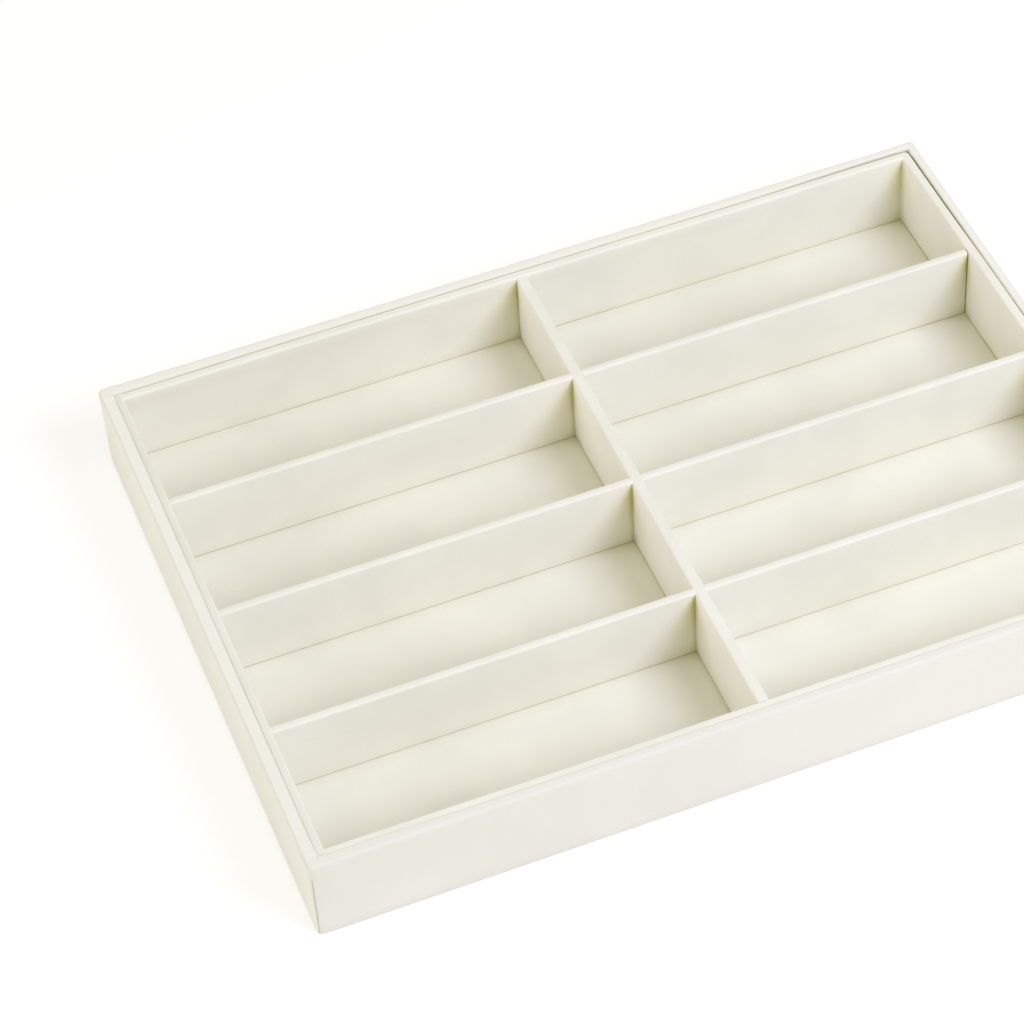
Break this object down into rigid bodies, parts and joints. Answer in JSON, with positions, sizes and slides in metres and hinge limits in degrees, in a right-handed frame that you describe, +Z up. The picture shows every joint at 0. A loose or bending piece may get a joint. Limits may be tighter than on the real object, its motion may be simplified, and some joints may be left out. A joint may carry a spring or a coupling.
{
  "type": "sunglass organizer tray",
  "caption": "Shallow covered-board tray with a lined drop-in insert and a lapped divider grid that makes long low bays for folded sunglasses.",
  "frame": {"origin": "on the surface that the tray stands on, under the middle of the tray", "axes": "+X along the long side, +Y towards the back, +Z up out of the open top"},
  "size_m": [0.36, 0.262, 0.04],
  "materials": {
    "leatherette": "fine matte grain, cream",
    "lining": "short soft nap, cream",
    "greyboard": "raw grey board",
    "card": "raw pale card",
    "base_sheet": "matte covering paper"
  },
  "bodies": {
    "shell": {"base_sheet": "base_sheet", "base_board": "greyboard", "wall_board_front": "greyboard", "wall_board_right": "greyboard", "wall_board_back": "greyboard", "wall_board_left": "greyboard", "wrap_front": "leatherette", "wrap_right": "leatherette", "wrap_back": "leatherette", "wrap_left": "leatherette"},
    "insert": {"floor_card": "card", "floor_lining": "lining", "liner_board_front": "card", "liner_board_right": "card", "liner_board_back": "card", "liner_board_left": "card", "liner_cover_front": "lining", "liner_cover_right": "lining", "liner_cover_back": "lining", "liner_cover_left": "lining"},
    "grid": {"centre_divider_board": "greyboard", "centre_divider_cover": "lining", "cross_divider_1_board": "greyboard", "cross_divider_1_cover": "lining", "cross_divider_2_board": "greyboard", "cross_divider_2_cover": "lining", "cross_divider_3_board": "greyboard", "cross_divider_3_cover": "lining"}
  },
  "joints": [
    {"name": "insert_lift", "type": "slide", "parent": "shell", "child": "insert", "axis": [0, 0, 1], "range_m": [0, 0.045]},
    {"name": "grid_lift", "type": "slide", "parent": "insert", "child": "grid", "axis": [0, 0, 1], "range_m": [0, 0.045]}
  ]
}
